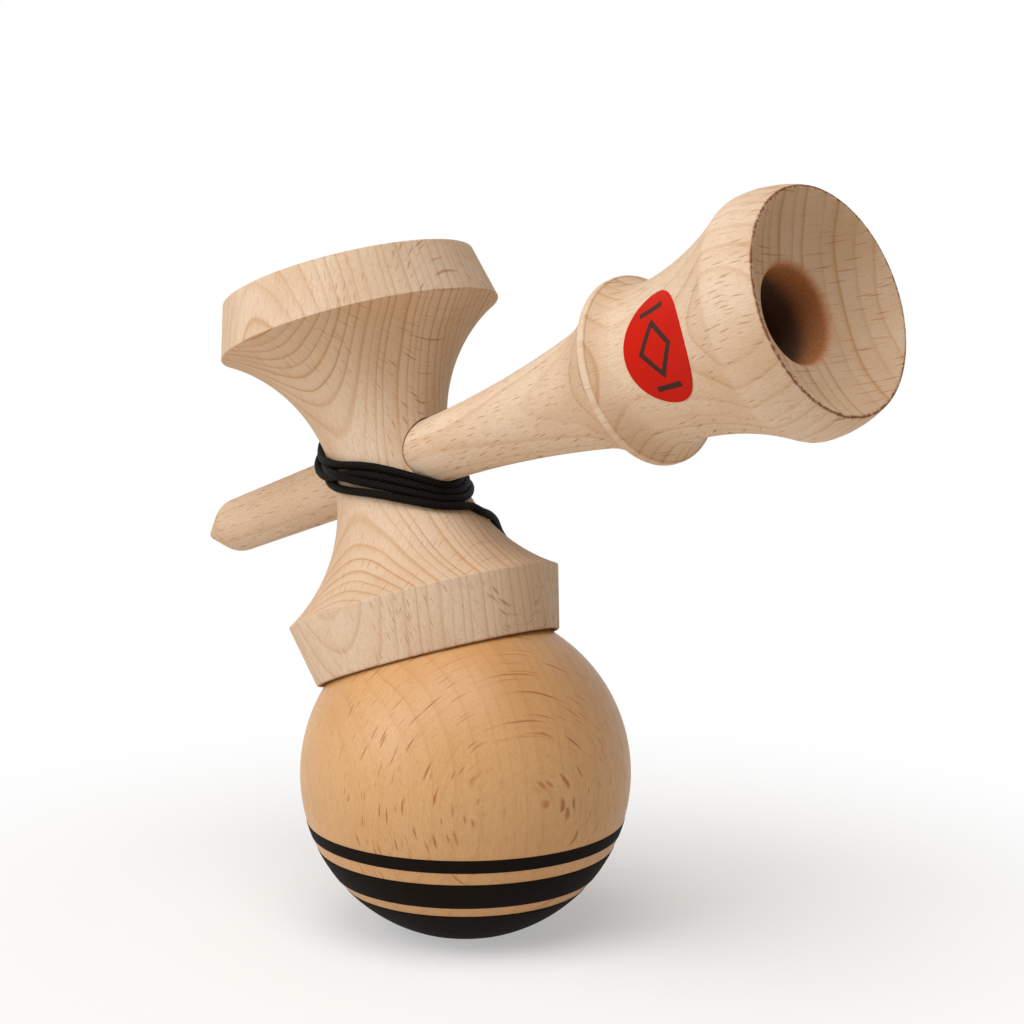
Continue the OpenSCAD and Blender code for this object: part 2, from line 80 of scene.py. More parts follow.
def turned_piece_tree():
    """A lathe: the outline's points, each carried round the Z axis in so many steps."""
    tree = bpy.data.node_groups.new("Turned piece", "GeometryNodeTree")
    for name, kind in (("Outline", "Geometry"), ("Steps round", "Int"), ("Finish", "Material")):
        tree.interface.new_socket(name, in_out="INPUT", socket_type="NodeSocket" + kind)
    tree.interface.new_socket("Turned", in_out="OUTPUT", socket_type="NodeSocketGeometry")
    given = node(tree, "NodeGroupInput").outputs
    size = node(tree, "GeometryNodeAttributeDomainSize", {"Geometry": given["Outline"]}).outputs
    across = calc(tree, "ADD", given["Steps round"], 1.0)
    grid = node(tree, "GeometryNodeMeshGrid", {
        "Vertices X": size["Point Count"], "Vertices Y": across,
    }).outputs["Mesh"]
    index = node(tree, "GeometryNodeInputIndex").outputs[0]
    row = calc(tree, "FLOOR", calc(tree, "DIVIDE", calc(tree, "ADD", index, 0.5), across))
    column = calc(tree, "SUBTRACT", index, calc(tree, "MULTIPLY", row, across))
    spot = node(tree, "GeometryNodeSampleIndex", {
        "Geometry": given["Outline"], "Value": node(tree, "GeometryNodeInputPosition").outputs[0], "Index": row,
    }, data_type="FLOAT_VECTOR", domain="POINT").outputs[0]
    place = xyz(tree, spot)
    turn = calc(tree, "MULTIPLY", calc(tree, "DIVIDE", column, given["Steps round"]), 2 * pi)
    ring = node(tree, "ShaderNodeCombineXYZ", {
        "X": calc(tree, "MULTIPLY", place["X"], calc(tree, "COSINE", turn)),
        "Y": calc(tree, "MULTIPLY", place["X"], calc(tree, "SINE", turn)),
        "Z": place["Z"],
    }).outputs[0]
    made = node(tree, "GeometryNodeSetPosition", {"Geometry": grid, "Position": ring}).outputs[0]
    made = node(tree, "GeometryNodeMergeByDistance", {"Geometry": made, "Distance": 2e-6}).outputs[0]
    made = node(tree, "GeometryNodeSetShadeSmooth", {"Geometry": made}).outputs[0]
    made = node(tree, "GeometryNodeRealizeInstances", {"Geometry": made}).outputs[0]
    made = node(tree, "GeometryNodeSetMaterial", {"Geometry": made, "Material": given["Finish"]}).outputs[0]
    node(tree, "NodeGroupOutput", {"Turned": made})
    return tree


TURNED_PIECE = turned_piece_tree()


def added(name, data):
    thing = bpy.data.objects.new(name, data)
    bpy.context.scene.collection.objects.link(thing)
    return thing


def evaluated_mesh(obj):
    bpy.context.view_layer.update()
    depsgraph = bpy.context.evaluated_depsgraph_get()
    mesh = bpy.data.meshes.new_from_object(obj.evaluated_get(depsgraph))
    obj.modifiers.clear()
    return mesh


def tidy_faces(mesh, sharp=32):
    shell = bmesh.new()
    shell.from_mesh(mesh)
    bmesh.ops.dissolve_degenerate(shell, edges=shell.edges, dist=1e-7)
    bmesh.ops.recalc_face_normals(shell, faces=shell.faces)
    shell.to_mesh(mesh)
    shell.free()
    mesh.set_sharp_from_angle(angle=radians(sharp))


def turned(name, outline, finish, steps=192, place=Matrix.Identity(4), sharp=32):
    """A piece off the lathe, from its outline as radius and height in millimetres."""
    line = bpy.data.meshes.new(name)
    points = [(max(r, 0.0) * MM, 0.0, z * MM) for r, z in outline]
    line.from_pydata(points, [(i, i + 1) for i in range(len(points) - 1)], [])
    piece = added(name, line)
    lathe = piece.modifiers.new("Lathe", "NODES")
    lathe.node_group = TURNED_PIECE
    sockets = {s.name: s.identifier for s in TURNED_PIECE.interface.items_tree if s.in_out == "INPUT"}
    lathe[sockets["Steps round"]] = steps
    lathe[sockets["Finish"]] = finish
    mesh = evaluated_mesh(piece)
    mesh.transform(place)
    tidy_faces(mesh, sharp)
    piece.data = mesh
    return piece


def ranged(tree, value, low, high, to_low=0.0, to_high=1.0, ease="LINEAR"):
    return node(tree, "ShaderNodeMapRange", {
        "Value": value, "From Min": low, "From Max": high, "To Min": to_low, "To Max": to_high,
    }, interpolation_type=ease).outputs[0]


def eased(tree, *limits):
    return ranged(tree, *limits, ease="SMOOTHSTEP")


def mixed(tree, share, a, b):
    return node(tree, "ShaderNodeMix", {0: share, 6: a, 7: b}, data_type="RGBA").outputs[2]


def noise(tree, vector, scale=1.0, detail=2.0, roughness=0.5):
    return node(tree, "ShaderNodeTexNoise", {
        "Vector": vector, "Scale": scale, "Detail": detail, "Roughness": roughness,
    }, noise_dimensions="3D").outputs[0]


def vector_length(tree, vector):
    return node(tree, "ShaderNodeVectorMath", {0: vector}, operation="LENGTH").outputs["Value"]


def beech_group():
    """Beech as a solid: X out from the pith, Y along the growth rings, Z along the grain, in millimetres."""
    tree = bpy.data.node_groups.new("Beech", "ShaderNodeTree")
    socket = tree.interface.new_socket
    socket("Vector", in_out="INPUT", socket_type="NodeSocketVector")
    for name, value in {
        "Pith Distance": 70.0, "Ring Width": 2.4, "Ring Strength": 0.6, "Ray Size": 1.0,
        "Fleck Strength": 0.8, "Fibre Strength": 0.25, "End Grain": 0.0,
    }.items():
        socket(name, in_out="INPUT", socket_type="NodeSocketFloat").default_value = value
    for name in ("Pale Wood", "Late Wood", "Fleck"):
        socket(name, in_out="INPUT", socket_type="NodeSocketColor")
    socket("Color", in_out="OUTPUT", socket_type="NodeSocketColor")
    for name in ("Height", "Flecks"):
        socket(name, in_out="OUTPUT", socket_type="NodeSocketFloat")
    given = node(tree, "NodeGroupInput").outputs
    at = xyz(tree, given["Vector"])

    def scaled(vector, x, y, z):
        return node(tree, "ShaderNodeVectorMath", {0: vector, 1: (x, y, z)}, operation="MULTIPLY").outputs[0]

    # growth rings: wavy shells round a far pith, each ending in a thin darker line
    sway = calc(tree, "MULTIPLY_ADD", noise(tree, scaled(given["Vector"], 0.035, 0.035, 0.018)), 5.0, -2.5)
    out = calc(tree, "ADD", calc(tree, "ADD", at["X"], sway), given["Pith Distance"])
    flat = node(tree, "ShaderNodeCombineXYZ", {"X": out, "Y": at["Y"]}).outputs[0]
    years = calc(tree, "DIVIDE", vector_length(tree, flat), given["Ring Width"])
    uneven = node(tree, "ShaderNodeTexNoise", {
        "W": calc(tree, "MULTIPLY", years, 0.45), "Scale": 1.0, "Detail": 1.0,
    }, noise_dimensions="1D").outputs[0]
    years = calc(tree, "MULTIPLY_ADD", uneven, 1.1, years)
    season = node(tree, "ShaderNodeTexWhiteNoise", {"W": calc(tree, "FLOOR", years)}, noise_dimensions="1D")
    part = calc(tree, "FRACT", years)
    soft = calc(tree, "POWER", eased(tree, part, 0.2, 0.9), 1.6)
    line = eased(tree, part, 0.72, 0.88)
    late = calc(tree, "MULTIPLY_ADD", line, 0.62, calc(tree, "MULTIPLY", soft, 0.38))
    late = calc(tree, "MULTIPLY", late, eased(tree, part, 0.9, 1.0, 1.0, 0.0))
    late = calc(tree, "MULTIPLY", late, calc(tree, "MULTIPLY_ADD", season.outputs[0], 0.65, 0.4))

    # rays: thin ribbons that run out from the pith, dashes on one face and broad patches on the other
    waver = noise(tree, scaled(given["Vector"], 0.1, 0.05, 0.14))
    bent = node(tree, "ShaderNodeCombineXYZ", {
        "X": at["X"], "Y": calc(tree, "MULTIPLY_ADD", waver, 0.9, at["Y"]), "Z": at["Z"],
    }).outputs[0]
    shrink = calc(tree, "DIVIDE", 1.0, given["Ray Size"])
    bent = node(tree, "ShaderNodeVectorMath", {0: bent, "Scale": shrink}, operation="SCALE").outputs[0]

    def rays(cell, ray):
        """Thin ovals, one to a cell and some fainter than others, with both sizes in millimetres."""
        cells = scaled(bent, *(1 / c for c in cell))
        found = node(tree, "ShaderNodeTexVoronoi", {"Vector": cells, "Scale": 1.0, "Randomness": 1.0},
                     voronoi_dimensions="3D", feature="F1").outputs
        apart = node(tree, "ShaderNodeVectorMath", {0: cells, 1: found["Position"]}, operation="SUBTRACT")
        size = vector_length(tree, scaled(apart.outputs[0], *(c / r for c, r in zip(cell, ray))))
        chance = xyz(tree, found["Color"])["X"]
        return calc(tree, "MULTIPLY", eased(tree, size, 0.35, 1.0, 1.0, 0.0), eased(tree, chance, 0.05, 0.7))

    wide = rays(cell=(16.0, 0.85, 2.7), ray=(6.5, 0.115, 1.3))
    fine = rays(cell=(9.0, 0.8, 1.7), ray=(4.2, 0.085, 0.7))
    sheets = eased(tree, noise(tree, scaled(bent, 0.05, 4.0, 0.2), detail=3.0), 0.55, 0.72)
    flecks = calc(tree, "MAXIMUM", wide, calc(tree, "MULTIPLY", fine, 0.7))
    flecks = calc(tree, "MAXIMUM", flecks, calc(tree, "MULTIPLY", sheets, 0.16))

    # fibres, pores and broad patches, laid over one another from the pale wood up
    fibres = noise(tree, scaled(given["Vector"], 3.0, 3.0, 0.42), detail=3.0, roughness=0.6)
    pores = noise(tree, scaled(given["Vector"], 5.5, 5.5, 1.6), roughness=0.7)
    patches = noise(tree, scaled(given["Vector"], 0.07, 0.07, 0.03))
    across = eased(tree, given["End Grain"], 0.0, 0.9)
    late = calc(tree, "MULTIPLY", late, calc(tree, "MULTIPLY_ADD", across, 0.7, 0.5))
    tone = given["Pale Wood"]
    for share, colour in (
        (calc(tree, "MULTIPLY", across, 0.32), "Late Wood"),
        (calc(tree, "MULTIPLY", late, given["Ring Strength"]), "Late Wood"),
        (eased(tree, patches, 0.35, 0.75, 0.0, 0.35), "Late Wood"),
        (calc(tree, "MULTIPLY", eased(tree, fibres, 0.35, 0.75), given["Fibre Strength"]), "Late Wood"),
        (calc(tree, "MULTIPLY", eased(tree, pores, 0.45, 0.7), 0.16), "Fleck"),
        (calc(tree, "MULTIPLY", flecks, given["Fleck Strength"]), "Fleck"),
    ):
        tone = mixed(tree, share, tone, given[colour])
    height = calc(tree, "MULTIPLY_ADD", flecks, -0.7, calc(tree, "MULTIPLY", fibres, 0.5))
    node(tree, "NodeGroupOutput", {"Color": tone, "Height": height, "Flecks": flecks})
    return tree


BEECH = beech_group()


def new_finish(name):
    finish = bpy.data.materials.new(name)
    finish.use_nodes = True
    finish.node_tree.nodes.clear()
    return finish, finish.node_tree


def object_place(tree):
    return node(tree, "ShaderNodeTexCoord").outputs["Object"]


def bumped(tree, height, strength, distance):
    return node(tree, "ShaderNodeBump", {
        "Strength": strength, "Distance": distance, "Height": height,
    }).outputs[0]


def shaded(tree, inputs):
    shader = node(tree, "ShaderNodeBsdfPrincipled", inputs)
    node(tree, "ShaderNodeOutputMaterial", {"Surface": shader.outputs[0]})
    return shader


FLECK_DULL, GRAIN_DEPTH = 0.12, 0.0002


def wood_finish(name, out, along, grain, origin, colours, settings, gloss):
    """A beech finish on Object coordinates, turned so that the wood's axes lie as they do in the blank."""
    finish, tree = new_finish(name)
    turn = Matrix((out, along, grain))
    place = node(tree, "ShaderNodeMapping", {
        "Vector": object_place(tree),
        "Location": -(turn @ Vector(origin)),
        "Rotation": turn.to_euler("XYZ"),
        "Scale": (1 / MM, 1 / MM, 1 / MM),
    }, vector_type="POINT").outputs[0]
    cut = node(tree, "ShaderNodeAttribute", attribute_name="end_grain").outputs["Fac"]
    wood = node(tree, "ShaderNodeGroup", {
        "Vector": place, "End Grain": cut, **settings, **colours,
    }, node_tree=BEECH).outputs
    shader = shaded(tree, {
        "Base Color": wood["Color"],
        "Roughness": ranged(tree, wood["Flecks"], 0.0, 1.0, gloss["rough"], gloss["rough"] + FLECK_DULL),
        "Normal": bumped(tree, wood["Height"], gloss["bump"], GRAIN_DEPTH),
        "Specular IOR Level": gloss["specular"],
    })
    return finish, place, wood, shader


def rgb(red, green, blue):
    def linear(c):
        c /= 255
        return c / 12.92 if c <= 0.04045 else ((c + 0.055) / 1.055) ** 2.4
    return (linear(red), linear(green), linear(blue), 1.0)


ray_side = radians(-27)
honey_beech, *_ = wood_finish(
    "Honey beech",
    out=(sin(ray_side), -cos(ray_side), 0), along=(cos(ray_side), sin(ray_side), 0), grain=(0, 0, 1),
    origin=(0, 0, BALL_Z),
    colours={"Pale Wood": rgb(212, 169, 117), "Late Wood": rgb(194, 139, 80), "Fleck": rgb(160, 90, 40)},
    settings={"Pith Distance": 90.0, "Ring Width": 2.9, "Ring Strength": 0.6, "Ray Size": 1.5,
              "Fleck Strength": 0.85, "Fibre Strength": 0.45},
    gloss={"rough": 0.42, "bump": 0.12, "specular": 0.5},
)


def arc(centre, r, start, end, steps=14):
    angles = [radians(start + (end - start) * i / steps) for i in range(steps + 1)]
    return [(centre[0] + r * cos(a), centre[1] + r * sin(a)) for a in angles]


mouth_r = STRING_HOLE_R + MOUTH_ROUND
mouth_z = BALL_Z + sqrt((BALL_R - MOUTH_ROUND) ** 2 - mouth_r**2)
mouth_angle = degrees(atan2(mouth_z - BALL_Z, mouth_r))
foot_angle = degrees(atan2(-BALL_Z, FOOT_R))
ball_outline = [
    (SPIKE_HOLE_R, HOLE_EDGE), (SPIKE_HOLE_R, SPIKE_HOLE_DEPTH), (CHAMBER_R, CHAMBER_FLOOR),
    (CHAMBER_R, CHAMBER_TOP), (STRING_HOLE_R, CHAMBER_TOP + CHAMBER_R - STRING_HOLE_R),
    *arc((mouth_r, mouth_z), MOUTH_ROUND, 180, mouth_angle),
    *arc((0, BALL_Z), BALL_R, mouth_angle, foot_angle, 110)[1:],
    (SPIKE_HOLE_R + HOLE_EDGE, 0), (SPIKE_HOLE_R, HOLE_EDGE),
]


def mark_end_grain(piece, grain):
    """Faces cut across the grain soak up more finish and show the rings more plainly."""
    cut = piece.data.attributes.new("end_grain", "FLOAT", "FACE")
    cut.data.foreach_set("value", [abs(face.normal.dot(grain)) for face in piece.data.polygons])


ball = turned("ball.wood", ball_outline, honey_beech)
mark_end_grain(ball, Vector((0, 0, 1)))
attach(ball, "ball")
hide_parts("ball")

# THE PAINTED BANDS
# Two stripes and the foot of the ball are sprayed matte black through a mask while it spins.
# The coats stand a tenth of a millimetre proud, and thin a little towards their edges.
PAINT_T, PAINT_SINK, PAINT_FEATHER, BARE_FOOT = 0.1, 0.05, 0.12, 0.4
PAINT_EDGE_T = 0.6 * PAINT_T
PAINTED_BELOW_MIDDLE = {
    "narrow_stripe": (8.2, 10.7), "wide_band": (13.1, 18.3), "painted_foot": (20.3, BALL_Z - BARE_FOOT),
}


def black_paint_finish():
    finish, tree = new_finish("Black paint")
    place = object_place(tree)
    mist = noise(tree, place, 900.0, 3.0)
    cloud = noise(tree, place, 90.0)
    specks = node(tree, "ShaderNodeTexVoronoi", {"Vector": place, "Scale": 420.0}).outputs["Distance"]
    tone = mixed(tree, cloud, rgb(20, 16, 13), rgb(27, 22, 18))
    shaded(tree, {
        "Base Color": mixed(tree, ranged(tree, specks, 0.05, 0.09, 0.5, 0.0), tone, rgb(56, 48, 41)),
        "Roughness": ranged(tree, mist, 0.0, 1.0, 0.55, 0.75),
        "Normal": bumped(tree, mist, 0.12, 0.0001),
        "Specular IOR Level": 0.04,
    })
    return finish


black_paint = black_paint_finish()
for coat, (top, bottom) in PAINTED_BELOW_MIDDLE.items():
    high, low = -degrees(asin(top / BALL_R)), -degrees(asin(bottom / BALL_R))
    outline = (
        arc((0, BALL_Z), BALL_R - PAINT_SINK, low, high, 24)
        + arc((0, BALL_Z), BALL_R + PAINT_EDGE_T, high, high, 1)[:1]
        + arc((0, BALL_Z), BALL_R + PAINT_T, high - PAINT_FEATHER, low + PAINT_FEATHER, 24)
        + arc((0, BALL_Z), BALL_R + PAINT_EDGE_T, low, low, 1)[:1]
    )
    film = turned(coat + ".paint", outline + outline[:1], black_paint, sharp=60)
    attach(film, "ball")
    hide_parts(coat)

# THE BEAD AND THE STRING THROUGH THE BALL
# A small moulded bead inside the ball stops the string from pulling out. The string is knotted under
# it, goes up through the string hole, lies over the ball and slips out under the small cup's rim.
BEAD_R, BEAD_Z, BEAD_BORE, BEAD_EDGE, BEAD_SEAT_GAP = 4.5, 42.21, 1.0, 0.3, 0.3
STRING_R = 0.75
LIE = 1.0
BRAID_STRANDS, BRAID_PITCH = 8.0, 0.8
KNOT_L, KNOT_RING, KNOT_LOOP, KNOT_RISE, KNOT_TUBE, KNOT_STEPS = 2.7, 1.02, 0.36, 0.72, 0.6, 90
RUN_SIDE = radians(126)
PINCH_POLAR, PINCH_R, PINCH_TUBE, PINCH_L, PINCH_HELD, PINCH_FREE = 59.5, 30.68, 0.5, 1.5, 3, 8
RUN_ROUTE = [(53, 30.95), (46, 31), (39, 31), (32, 31), (25, 31), (18, 31.1), (12, 31.2)]
LEAD_DEPTHS = (3, 8)
PATH_STEP = 0.5


def string_finish():
    """A fine black braid: rows of small crossing strands, drawn along the string by its UV map, their tops
    coloured lighter as a painted highlight.
    """
    finish, tree = new_finish("Black braid")
    uv = xyz(tree, node(tree, "ShaderNodeUVMap", uv_map="along").outputs[0])
    round_it = calc(tree, "MULTIPLY", uv["Y"], BRAID_STRANDS)
    down_it = calc(tree, "DIVIDE", uv["X"], BRAID_PITCH)

    def strands(slant):
        return calc(tree, "ABSOLUTE", calc(tree, "SINE", calc(tree, "MULTIPLY", slant, pi)))

    domes = calc(tree, "MULTIPLY", strands(calc(tree, "ADD", round_it, down_it)),
                 strands(calc(tree, "SUBTRACT", round_it, down_it)))
    fuzz = noise(tree, object_place(tree), 2600.0)
    # painted highlight: the strands' tops are coloured lighter than the grooves between them
    shaded(tree, {
        "Base Color": mixed(tree, calc(tree, "POWER", domes, 2.0), rgb(3, 2, 2), rgb(48, 40, 36)),
        "Roughness": ranged(tree, domes, 0.0, 1.0, 0.7, 0.42),
        "Normal": bumped(tree, calc(tree, "MULTIPLY_ADD", fuzz, 0.25, domes), 0.7, 0.0002),
        "Specular IOR Level": 0.06,
    })
    return finish


black_braid = string_finish()


def smooth_route(points):
    """The route's points joined by one smooth curve, with a point at every step."""
    p = np.array(points, float)
    legs = np.diff(p, axis=0)
    far = np.linalg.norm(legs, axis=1)[:, None]
    way = legs / far
    between = (way[:-1] * far[1:] + way[1:] * far[:-1]) / (far[1:] + far[:-1])
    heading = np.vstack([way[:1], between, way[-1:]])
    fine = []
    for i, leg in enumerate(far[:, 0]):
        t = np.linspace(0, 1, max(2, ceil(leg / PATH_STEP) + 1))[:-1, None]
        fine.append(p[i] * (1 + 2 * t) * (1 - t) ** 2 + p[i + 1] * t**2 * (3 - 2 * t)
                    + leg * t * (1 - t) * (heading[i] * (1 - t) - heading[i + 1] * t))
    return np.vstack(fine + [p[-1:]])


def string_tube(name, path, radii, sides=14):
    """A round braided tube along a path, with its UV map in millimetres along and turns round."""
    path = np.asarray(path, float)
    heading = np.gradient(path, axis=0)
    heading /= np.linalg.norm(heading, axis=1)[:, None]
    side = np.cross(heading[0], (0, 0, 1) if abs(heading[0][2]) < 0.9 else (1, 0, 0))
    rings = []
    for centre, ahead, r in zip(path, heading, radii):
        side = side - ahead * (side @ ahead)
        side /= np.linalg.norm(side)
        up = np.cross(ahead, side)
        angles = np.arange(sides) * 2 * pi / sides
        rings.append(centre + r * (np.outer(np.cos(angles), side) + np.outer(np.sin(angles), up)))
    points = np.vstack(rings) * MM
    faces = []
    for i in range(len(path) - 1):
        for j in range(sides):
            a, b = i * sides + j, i * sides + (j + 1) % sides
            faces.append((a, b, b + sides, a + sides))
    last = (len(path) - 1) * sides
    faces += [tuple(range(sides))[::-1], tuple(range(last, last + sides))]
    mesh = bpy.data.meshes.new(name)
    mesh.from_pydata(points.tolist(), [], faces)
    along = np.concatenate([[0], np.cumsum(np.linalg.norm(np.diff(path, axis=0), axis=1))])
    uv = mesh.uv_layers.new(name="along")
    for face in mesh.polygons:
        quad = face.index < len(faces) - 2
        i, j = divmod(face.index, sides)
        corners = ((i, j), (i, j + 1), (i + 1, j + 1), (i + 1, j)) if quad else None
        for n, loop in enumerate(face.loop_indices):
            ring, turn = corners[n] if quad else divmod(mesh.loops[loop].vertex_index, sides)
            uv.data[loop].uv = (along[ring], turn / sides)
    mesh.polygons.foreach_set("use_smooth", [True] * len(mesh.polygons))
    mesh.materials.append(black_braid)
    mesh.update()
    return added(name, mesh)


def round_ball(polar, r):
    polar = radians(polar)
    return np.array((r * sin(polar) * cos(RUN_SIDE), r * sin(polar) * sin(RUN_SIDE), BALL_Z + r * cos(polar)))


pinch = round_ball(PINCH_POLAR, PINCH_R)
pinch_turn = radians(PINCH_POLAR)
pinch_heading = np.array((-cos(pinch_turn) * cos(RUN_SIDE), -cos(pinch_turn) * sin(RUN_SIDE), sin(pinch_turn)))
lead_top = BALL_Z + BALL_R + LIE - mouth_r
over_mouth = [(mouth_r * (1 - sin(a)) * cos(RUN_SIDE), mouth_r * (1 - sin(a)) * sin(RUN_SIDE),
               lead_top + mouth_r * cos(a)) for a in np.linspace(0, pi / 2, 7)]
knot_top = BEAD_Z - BEAD_R - BEAD_SEAT_GAP
run_path = smooth_route([
    pinch, pinch + PINCH_L * pinch_heading, *(round_ball(*p) for p in RUN_ROUTE), *over_mouth,
    *((0, 0, lead_top - depth) for depth in LEAD_DEPTHS), (0, 0, knot_top),
])
run_radii = np.interp(np.arange(len(run_path)), [PINCH_HELD, PINCH_FREE], [PINCH_TUBE, STRING_R])
string_run = string_tube("string.run", run_path, run_radii)


def knot_path():
    """A string tied through itself once, drawn up into a small ball."""
    t = np.linspace(0, 2 * pi, KNOT_STEPS)
    out = KNOT_RING + KNOT_LOOP * np.cos(3 * t)
    return np.stack([out * np.cos(2 * t), out * np.sin(2 * t), KNOT_RISE * np.sin(3 * t)], axis=1)


under_bead = knot_path() + (0, 0, knot_top - KNOT_L / 2)
bead_knot = string_tube("string.bead_knot", under_bead, [KNOT_TUBE] * KNOT_STEPS)


def bead_finish():
    finish, tree = new_finish("Black bead")
    haze = noise(tree, object_place(tree), 500.0, 3.0)
    shaded(tree, {
        "Base Color": mixed(tree, haze, rgb(24, 23, 23), rgb(40, 38, 37)),
        "Roughness": ranged(tree, haze, 0.0, 1.0, 0.22, 0.4),
    })
    return finish


bore_angle = degrees(asin((BEAD_BORE + BEAD_EDGE) / BEAD_R))
bead_end = BEAD_R * cos(radians(bore_angle)) - BEAD_EDGE
bead_outline = [
    (BEAD_BORE, BEAD_Z - bead_end),
    *arc((0, BEAD_Z), BEAD_R, bore_angle - 90, 90 - bore_angle, 40),
    (BEAD_BORE, BEAD_Z + bead_end), (BEAD_BORE, BEAD_Z - bead_end),
]
bead = turned("string.bead", bead_outline, bead_finish(), steps=64)
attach(bead, "bead")
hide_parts("string_bead")
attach(bead_knot, "bead")
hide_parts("bead_knot")
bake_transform(string_run)
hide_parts("string_run", "string_lead")

# THE CROSS-PIECE
# Two cups on a flaring neck, turned from one piece of pale beech with the grain along its axis. The
# handle goes through a tapered hole in the neck, and a small hole with a pocket takes the string's knot.
LEAN, SIDE_TILT = radians(20.4), radians(2.1)
NECK_R, FLARE_R = 11.2, 29.5
BIG_EDGE_R, BIG_RIM_R, BIG_H, BIG_DISH_R = 26.3, 23.8, 35.8, 28.0
SMALL_EDGE_R, SMALL_RIM_R, SMALL_H, SMALL_DISH_R = 25.3, 22.8, 36.7, 25.0
RIM_ROUND, EDGE_ROUND = 0.4, 0.18
SEAT_GAP, STRING_ROOM, STRING_SIDE = 0.25, 1.3, radians(132)
HANDLE_DROP = 0.5
ANCHOR_H, ANCHOR_HOLE_R, POCKET_R, POCKET_ROOM = 3.0, 1.1, 2.2, 0.25
SPIKE_L, TIP_ROUND, SPIKE_ANGLE, SPIKE_R, SPIKE_SHOULDER = 53.2, 1.2, radians(31), 5.2, 6.5
SHAFT_R, SHAFT_CURVE_R, SHAFT_X, TAPER_GAP = 5.97, 245.0, 5.3, 0.06
HOLE_EASE, EASE_FROM, EASE_TO = 0.2, 5.0, 9.0

nose_r, nose_h = SMALL_RIM_R - RIM_ROUND, SMALL_H - RIM_ROUND
near_r, far_r = BALL_R + SEAT_GAP + RIM_ROUND, BALL_R + STRING_ROOM + RIM_ROUND
seat_shift = (far_r**2 - near_r**2) / (4 * nose_r)
seat = Vector((seat_shift * cos(STRING_SIDE), seat_shift * sin(STRING_SIDE),
               nose_h + sqrt(near_r**2 - (nose_r - seat_shift) ** 2)))
tilted = Matrix.Rotation(-LEAN, 3, "Y") @ Matrix.Rotation(-SIDE_TILT, 3, "X")
neck_middle = Vector((0, 0, BALL_Z)) + tilted @ seat
on_cross_piece = Matrix.Translation(neck_middle * MM) @ tilted.to_4x4()
handle_way, side_way, cup_way = (tilted @ Vector(v) for v in ((1, 0, 0), (0, 1, 0), (0, 0, 1)))

PALE = {"Pale Wood": rgb(228, 207, 184), "Late Wood": rgb(191, 147, 101), "Fleck": rgb(166, 109, 63)}
SANDED = {"rough": 0.65, "bump": 0.2, "specular": 0.15}
FIGURE_SHIFT = Vector((0, 0, 4))
cup_beech, *_ = wood_finish(
    "Pale beech of the cups",
    out=side_way, along=-handle_way, grain=cup_way, origin=neck_middle + FIGURE_SHIFT,
    colours=PALE,
    settings={"Pith Distance": 60.0, "Ring Width": 1.75, "Ring Strength": 1.0, "Ray Size": 0.95,
              "Fleck Strength": 0.6, "Fibre Strength": 0.2},
    gloss=SANDED,
)


def rounded_edge(before, corner, after):
    """A turned edge, with its sharpness taken off by sandpaper."""
    b, c, a = (Vector(p) for p in (before, corner, after))
    start, end = c + (b - c).normalized() * EDGE_ROUND, c + (a - c).normalized() * EDGE_ROUND
    return [tuple(start.lerp(c, t).lerp(c.lerp(end, t), t)) for t in (0, 0.25, 0.5, 0.75, 1)]


flare_centre = NECK_R + FLARE_R
big_edge_h = sqrt(FLARE_R**2 - (flare_centre - BIG_EDGE_R) ** 2)
small_edge_h = sqrt(FLARE_R**2 - (flare_centre - SMALL_EDGE_R) ** 2)
big_nose, small_nose = (BIG_RIM_R - RIM_ROUND, BIG_H - RIM_ROUND), (nose_r, -nose_h)
big_dish_h = big_nose[1] + sqrt(BIG_DISH_R**2 - (big_nose[0] - RIM_ROUND) ** 2)
small_dish_h = nose_h + sqrt(SMALL_DISH_R**2 - (nose_r - RIM_ROUND) ** 2)
big_mouth = degrees(asin((big_nose[0] - RIM_ROUND) / BIG_DISH_R))
small_mouth = degrees(asin((nose_r - RIM_ROUND) / SMALL_DISH_R))
flare = arc((flare_centre, 0), FLARE_R, 180 - degrees(asin(big_edge_h / FLARE_R)),
            180 + degrees(asin(small_edge_h / FLARE_R)), 110)
cross_outline = (
    arc((0, big_dish_h), BIG_DISH_R, -90, big_mouth - 90, 40) + arc(big_nose, RIM_ROUND, 180, 0, 8)
    + rounded_edge((BIG_RIM_R, big_nose[1]), flare[0], flare[1]) + flare[1:-1]
    + rounded_edge(flare[-2], flare[-1], (SMALL_RIM_R, -nose_h)) + arc(small_nose, RIM_ROUND, 0, -180, 8)
    + arc((0, -small_dish_h), SMALL_DISH_R, 90 - small_mouth, 90, 40)
)
cross_piece = turned("cross_piece.wood", cross_outline, cup_beech, place=on_cross_piece)

tip_x = TIP_ROUND * (1 - sin(SPIKE_ANGLE)) - SPIKE_L
shoulder_x = tip_x + (SPIKE_R - TIP_ROUND * cos(SPIKE_ANGLE)) / tan(SPIKE_ANGLE)
shaft_start = shoulder_x + SPIKE_SHOULDER * tan(SPIKE_ANGLE / 2)


def hollow(x, low, curve_r, at):
    return low + curve_r - sqrt(curve_r**2 - (x - at) ** 2)


def shaft(x):
    if x < SHAFT_X:
        return SPIKE_R + (SHAFT_R - SPIKE_R) * (x - shaft_start) / (SHAFT_X - shaft_start)
    return hollow(x, SHAFT_R, SHAFT_CURVE_R, SHAFT_X)


